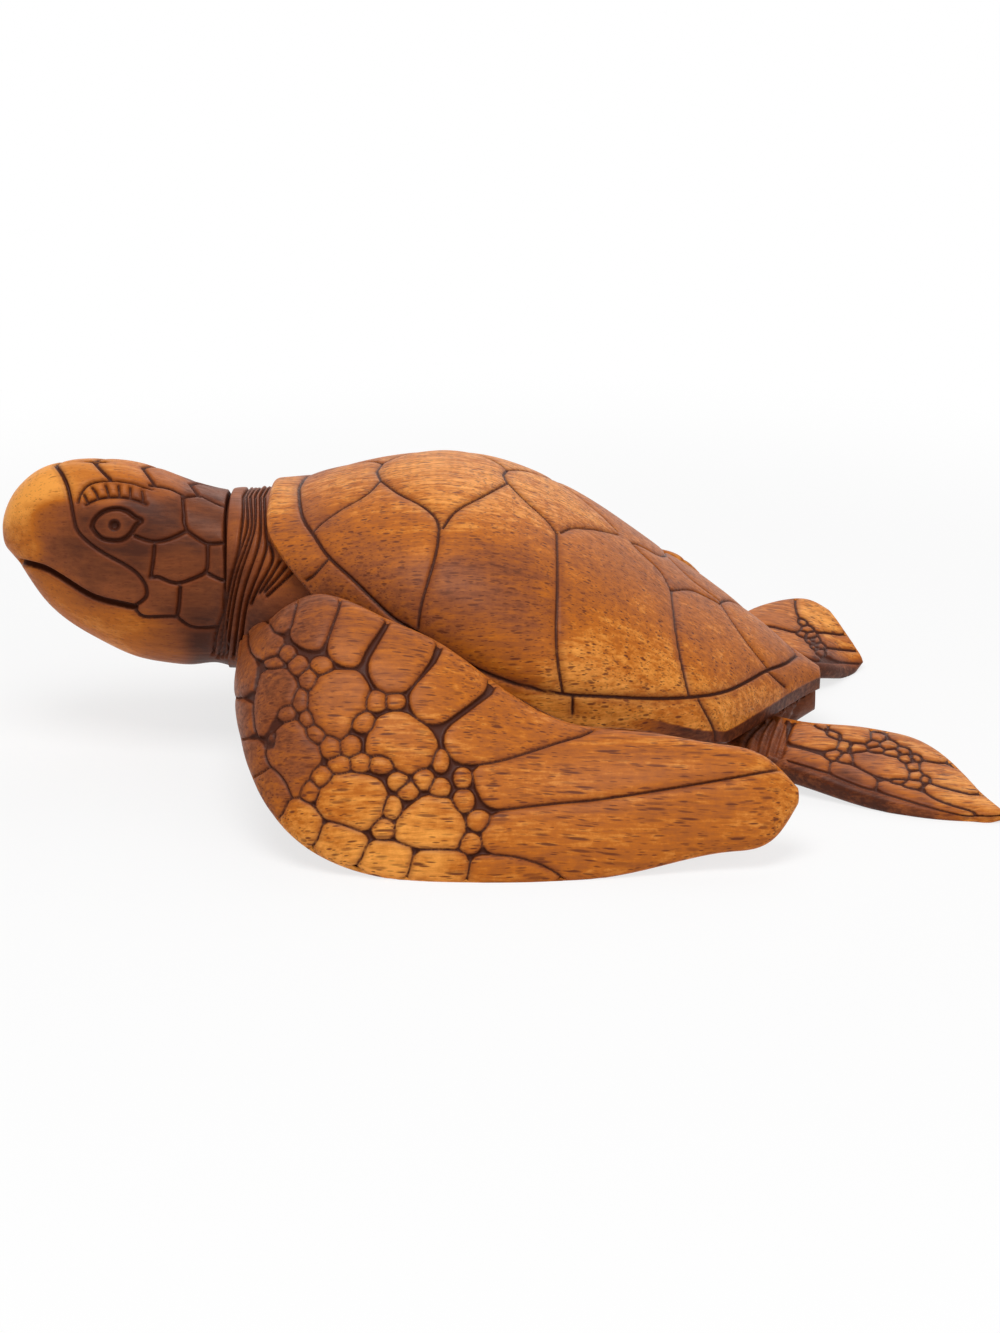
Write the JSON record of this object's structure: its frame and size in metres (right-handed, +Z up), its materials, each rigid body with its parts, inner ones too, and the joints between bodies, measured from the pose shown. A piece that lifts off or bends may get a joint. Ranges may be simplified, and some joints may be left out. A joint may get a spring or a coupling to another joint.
{
  "type": "carved wooden sea turtle figurine",
  "caption": "Free-standing carved wooden sea turtle with a domed shell, long front flippers, rear flippers and a beaked head, glued up from blocks on hidden dowels.",
  "frame": {"origin": "middle of the footprint, in the plane that the figurine stands on", "axes": "+X from the head to the tail, +Y to the turtle's right, +Z up"},
  "size_m": [0.3827, 0.3198, 0.1115],
  "materials": {
    "shell_wood": "satin varnish",
    "body_wood": "satin varnish",
    "flipper_wood": "satin varnish",
    "dowel_wood": "raw"
  },
  "bodies": {
    "root": {"carapace": "shell_wood", "trunk": "body_wood", "head": "body_wood", "flipper_front_left": "flipper_wood", "flipper_front_right": "flipper_wood", "flipper_rear_left": "flipper_wood", "flipper_rear_right": "flipper_wood", "neck_dowel_lower": "dowel_wood", "neck_dowel_upper": "dowel_wood", "seam_dowel_front": "dowel_wood", "seam_dowel_middle": "dowel_wood", "seam_dowel_rear": "dowel_wood", "front_left_dowel_1": "dowel_wood", "front_left_dowel_2": "dowel_wood", "front_right_dowel_1": "dowel_wood", "front_right_dowel_2": "dowel_wood", "rear_left_dowel_1": "dowel_wood", "rear_left_dowel_2": "dowel_wood", "rear_right_dowel_1": "dowel_wood", "rear_right_dowel_2": "dowel_wood"}
  },
  "joints": []
}
